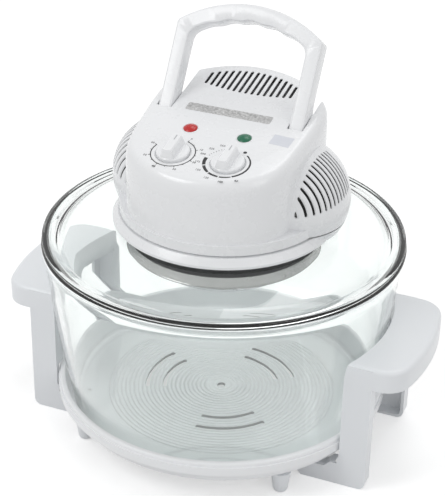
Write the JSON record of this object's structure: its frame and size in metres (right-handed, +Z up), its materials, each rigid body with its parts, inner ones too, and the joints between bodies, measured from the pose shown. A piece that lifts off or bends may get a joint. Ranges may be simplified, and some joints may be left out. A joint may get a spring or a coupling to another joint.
{
  "type": "halogen_oven",
  "caption": "Countertop halogen oven: a glass bowl on a ringed dish with two bracket handles, and a lift-off glass lid with a motor head, two knobs and a folding carry handle.",
  "frame": {"origin": "On the table, under the middle of the bowl", "axes": "+Z is up along the bowl's axis, the control panel faces -Y, +X is to the right seen from the front, and the two bracket handles stand on the X sides"},
  "size_m": [0.404, 0.331, 0.3898],
  "materials": {
    "white_plastic": "glossy moulded",
    "glass": "clear polished",
    "black_rubber": "matt moulded",
    "polished_steel": "polished",
    "plated_steel": "zinc plated",
    "quartz": "clear",
    "tungsten": "drawn wire",
    "ceramic": "unglazed",
    "black_plastic": "satin moulded",
    "red_plastic": "moulded",
    "red_lens": "glossy translucent",
    "green_lens": "glossy translucent",
    "laminated_steel": "stacked sheet",
    "copper": "enamelled wire"
  },
  "bodies": {
    "base": {"base_dish": "white_plastic", "base_feet": "white_plastic", "left_bracket": "white_plastic", "right_bracket": "white_plastic", "bracket_screws": "plated_steel"},
    "bowl": {"bowl": "glass"},
    "lid": {"lid_glass": "glass", "upper_seal": "black_rubber", "clamp_seal": "black_rubber", "lamp_pan": "polished_steel", "pan_spacers": "plated_steel", "pan_screws": "plated_steel", "heat_shield": "plated_steel", "wire_guard": "plated_steel", "guard_screws": "plated_steel", "halogen_lamp": "quartz", "lamp_filament": "tungsten", "lamp_holders": "ceramic", "lower_housing": "white_plastic", "head_cover": "white_plastic", "cover_screws": "plated_steel", "handle_pins": "plated_steel", "safety_switch": "black_plastic", "timer": "plated_steel", "thermostat": "plated_steel", "red_lens": "red_lens", "green_lens": "green_lens", "indicator_lamps": "quartz", "power_inlet": "black_plastic", "inlet_pins": "plated_steel", "motor_stator": "laminated_steel", "motor_coil": "copper", "motor_brackets": "plated_steel", "motor_screws": "plated_steel"},
    "carry_handle": {"carry_handle": "white_plastic"},
    "switch_plunger": {"switch_plunger": "red_plastic"},
    "timer_knob": {"timer_knob": "white_plastic"},
    "thermostat_knob": {"thermostat_knob": "white_plastic"},
    "fan": {"motor_shaft": "plated_steel", "rotor": "laminated_steel", "cooling_fan": "black_plastic", "convection_fan": "polished_steel", "fan_nut": "plated_steel"}
  },
  "joints": [
    {"name": "bowl_lift", "type": "slide", "parent": "base", "child": "bowl", "axis": [0, 0, 1], "range_m": [0, 0.2]},
    {"name": "lid_lift", "type": "slide", "parent": "bowl", "child": "lid", "axis": [0, 0, 1], "range_m": [0, 0.15]},
    {"name": "carry_handle_fold", "type": "hinge", "parent": "lid", "child": "carry_handle", "pos_m": [0, 0.005, 0.28618], "axis": [-1, 0, 0], "range_deg": [0, 45.8]},
    {"name": "plunger_press", "type": "slide", "parent": "lid", "child": "switch_plunger", "axis": [0, 0, -1], "range_m": [0, 0.002], "stiffness_N_per_m": 300, "springref_m": -0.004},
    {"name": "timer_turn", "type": "hinge", "parent": "lid", "child": "timer_knob", "pos_m": [-0.0252, -0.057, 0.29352], "axis": [0, 0.1925, -0.9813], "range_deg": [0, 300]},
    {"name": "thermostat_turn", "type": "hinge", "parent": "lid", "child": "thermostat_knob", "pos_m": [0.0252, -0.057, 0.29352], "axis": [0, 0.1925, -0.9813], "range_deg": [0, 270]},
    {"name": "fan_turn", "type": "hinge", "parent": "lid", "child": "fan", "pos_m": [0, 0, 0.24], "axis": [0, 0, 1], "continuous": true}
  ],
  "couplings": [
    {"joint": "plunger_press", "follows": "carry_handle_fold", "m_per_rad": 0.0025}
  ]
}
